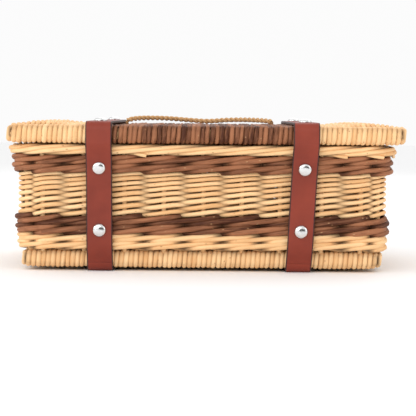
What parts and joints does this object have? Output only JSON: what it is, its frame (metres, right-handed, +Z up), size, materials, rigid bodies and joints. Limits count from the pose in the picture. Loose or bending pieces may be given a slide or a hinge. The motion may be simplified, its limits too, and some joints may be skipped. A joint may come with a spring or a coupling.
{
  "type": "handlebar basket",
  "caption": "Rectangular willow hamper basket with a flat lid hinged on two leather straps, magnetic strap closures, handlebar loops and a folding rope handle.",
  "frame": {"origin": "middle of the flat underside of the woven base", "axes": "+Z up, +X along the basket's length to the right when its hinge side is faced, +Y towards the handlebar and the rider"},
  "size_m": [0.3835, 0.3036, 0.1504],
  "materials": {
    "natural_willow": "buff willow rods, satin, with slight colour change from rod to rod",
    "dark_willow": "steamed brown willow rods with bark, dull satin",
    "peeled_sticks": "peeled willow sticks, matt",
    "strap_leather": "chestnut bridle leather, smooth with a low sheen and dark burnished edges",
    "nickel": "polished nickel plate",
    "rope": "two-ply twisted straw-coloured cord"
  },
  "bodies": {
    "basket": {"base_weave": "natural_willow", "base_stick_1": "peeled_sticks", "base_stick_2": "peeled_sticks", "base_stick_3": "peeled_sticks", "base_stick_4": "peeled_sticks", "lower_natural_wale": "natural_willow", "lower_dark_wale": "dark_willow", "side_weave": "natural_willow", "upper_dark_wale": "dark_willow", "top_border": "natural_willow", "corner_post_front_left": "peeled_sticks", "corner_post_front_right": "peeled_sticks", "corner_post_back_left": "peeled_sticks", "corner_post_back_right": "peeled_sticks", "upper_rivet_left": "nickel", "upper_rivet_right": "nickel", "upper_rivet_washer_left": "nickel", "upper_rivet_washer_right": "nickel", "lower_rivet_left": "nickel", "lower_rivet_right": "nickel", "lower_rivet_washer_left": "nickel", "lower_rivet_washer_right": "nickel", "catch_plate_left": "nickel", "catch_plate_right": "nickel", "catch_plate_washer_left": "nickel", "catch_plate_washer_right": "nickel", "body_strap_left": "strap_leather", "body_strap_right": "strap_leather", "handlebar_strap_left": "strap_leather", "handlebar_strap_right": "strap_leather", "strap_keeper_left": "strap_leather", "strap_keeper_right": "strap_leather", "buckle_frame_left": "nickel", "buckle_frame_right": "nickel", "buckle_pin_left": "nickel", "buckle_pin_right": "nickel"},
    "lid": {"lid_weave_left": "natural_willow", "lid_weave_centre": "dark_willow", "lid_weave_right": "natural_willow", "lid_stick_1": "peeled_sticks", "lid_stick_2": "peeled_sticks", "lid_stick_3": "peeled_sticks", "lid_stick_4": "peeled_sticks", "lid_strap_left": "strap_leather", "lid_strap_right": "strap_leather", "lid_rivet_hinge_left": "nickel", "lid_rivet_hinge_right": "nickel", "lid_rivet_catch_left": "nickel", "lid_rivet_catch_right": "nickel", "lid_washer_hinge_left": "nickel", "lid_washer_hinge_right": "nickel", "lid_washer_catch_left": "nickel", "lid_washer_catch_right": "nickel", "rope_end_left": "rope", "rope_end_right": "rope"},
    "strap_tail_left": {"strap_tail_left": "strap_leather", "catch_magnet_left": "nickel"},
    "strap_tail_right": {"strap_tail_right": "strap_leather", "catch_magnet_right": "nickel"},
    "handle": {"rope_handle": "rope"}
  },
  "joints": [
    {"name": "lid_hinge", "type": "hinge", "parent": "basket", "child": "lid", "pos_m": [0, -0.1383, 0.1227], "axis": [1, 0, 0], "range_deg": [0, 170]},
    {"name": "left_tail_flap", "type": "hinge", "parent": "lid", "child": "strap_tail_left", "pos_m": [-0.099, 0.1383, 0.1423], "axis": [1, 0, 0], "range_deg": [0, 200]},
    {"name": "right_tail_flap", "type": "hinge", "parent": "lid", "child": "strap_tail_right", "pos_m": [0.099, 0.1383, 0.1423], "axis": [1, 0, 0], "range_deg": [0, 200]},
    {"name": "handle_fold", "type": "hinge", "parent": "lid", "child": "handle", "pos_m": [-0.004, 0, 0.142], "axis": [1, 0, 0], "range_deg": [0, 130]}
  ]
}
